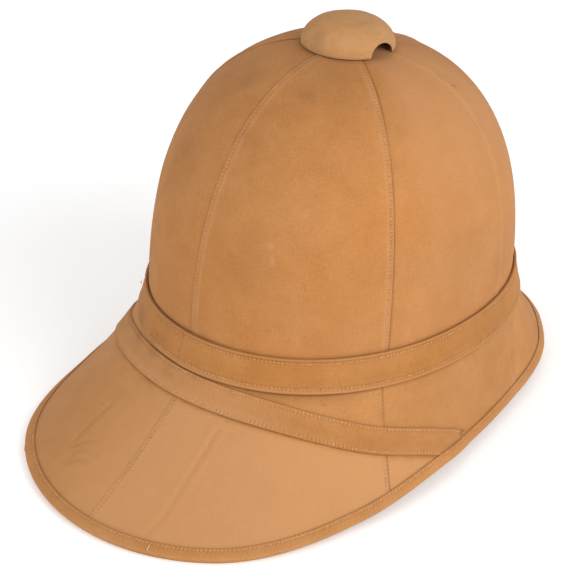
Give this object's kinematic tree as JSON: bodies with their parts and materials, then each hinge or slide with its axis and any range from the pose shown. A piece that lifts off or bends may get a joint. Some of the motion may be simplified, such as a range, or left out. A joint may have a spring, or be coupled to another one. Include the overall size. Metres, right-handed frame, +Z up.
{
  "type": "pith helmet",
  "caption": "Cloth-covered pith sun helmet with a domed panelled crown, a hatband, a deep sloping brim with a long peak, and a round ventilator cap on top.",
  "frame": {"origin": "centre of the helmet's outline, on the floor it rests on", "axes": "+Z up, -Y towards the front, where the peak is, +X towards the wearer's left"},
  "size_m": [0.23, 0.3488, 0.2228],
  "materials": {
    "pith": "matt, raw pith",
    "crown_cloth": "matt, cotton drill",
    "brim_cloth": "matt, cotton drill",
    "band_cloth": "matt, cotton drill",
    "strap_cloth": "matt, cotton drill",
    "binding_twill": "matt, ribbed twill tape",
    "cap_cloth": "matt, cotton drill",
    "collar_metal": "dull, tarnished"
  },
  "bodies": {
    "root": {"shell": "pith", "crown_panel_1": "crown_cloth", "crown_panel_2": "crown_cloth", "crown_panel_3": "crown_cloth", "crown_panel_4": "crown_cloth", "crown_panel_5": "crown_cloth", "crown_panel_6": "crown_cloth", "brim_panel_1": "brim_cloth", "brim_panel_2": "brim_cloth", "brim_panel_3": "brim_cloth", "brim_panel_4": "brim_cloth", "brim_panel_5": "brim_cloth", "brim_panel_6": "brim_cloth", "hatband": "band_cloth", "peak_strap": "strap_cloth", "edge_binding": "binding_twill", "vent_cap": "cap_cloth", "vent_collar": "collar_metal"}
  },
  "joints": []
}
